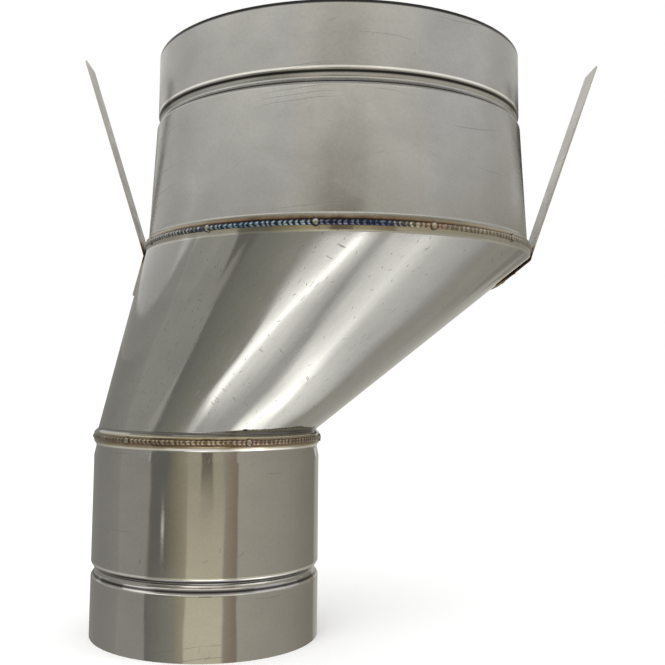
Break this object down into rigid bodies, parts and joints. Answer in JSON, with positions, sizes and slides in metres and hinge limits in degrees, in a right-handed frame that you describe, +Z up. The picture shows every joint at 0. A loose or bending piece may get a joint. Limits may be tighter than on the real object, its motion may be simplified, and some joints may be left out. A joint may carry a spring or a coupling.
{
  "type": "flue offset adaptor",
  "caption": "Sheet-metal flue adaptor: a large and a small collar on side-stepped axes, joined by an oblique cone with girth welds, with a fixing strap on each side.",
  "frame": {"origin": "centre of the lower collar's open end", "axes": "+Z up the flue along the lower collar's axis, +X towards the axis of the upper collar, +Y to the back where the long seams are"},
  "size_m": [0.353, 0.261, 0.3842],
  "materials": {
    "matt_stainless": "dull mill-rolled stainless sheet with faint level scratches and smudges",
    "bright_stainless": "brighter rolled stainless sheet with soft streaky reflections",
    "satin_stainless": "satin rolled stainless sheet with upright reflections",
    "weld_bead": "rippled weld bead with straw, brown and blue heat tint",
    "long_seam": "flat planished seam with a light heat tint",
    "strap_steel": "plain sheared stainless strip",
    "spot_weld": "dark burnt weld nugget"
  },
  "bodies": {
    "root": {"upper_collar": "matt_stainless", "offset_cone": "bright_stainless", "lower_collar": "satin_stainless", "upper_girth_weld": "weld_bead", "lower_girth_weld": "weld_bead", "upper_collar_seam": "long_seam", "cone_seam": "long_seam", "lower_collar_seam": "long_seam", "left_strap": "strap_steel", "right_strap": "strap_steel", "left_strap_spot_welds": "spot_weld", "right_strap_spot_welds": "spot_weld"}
  },
  "joints": []
}
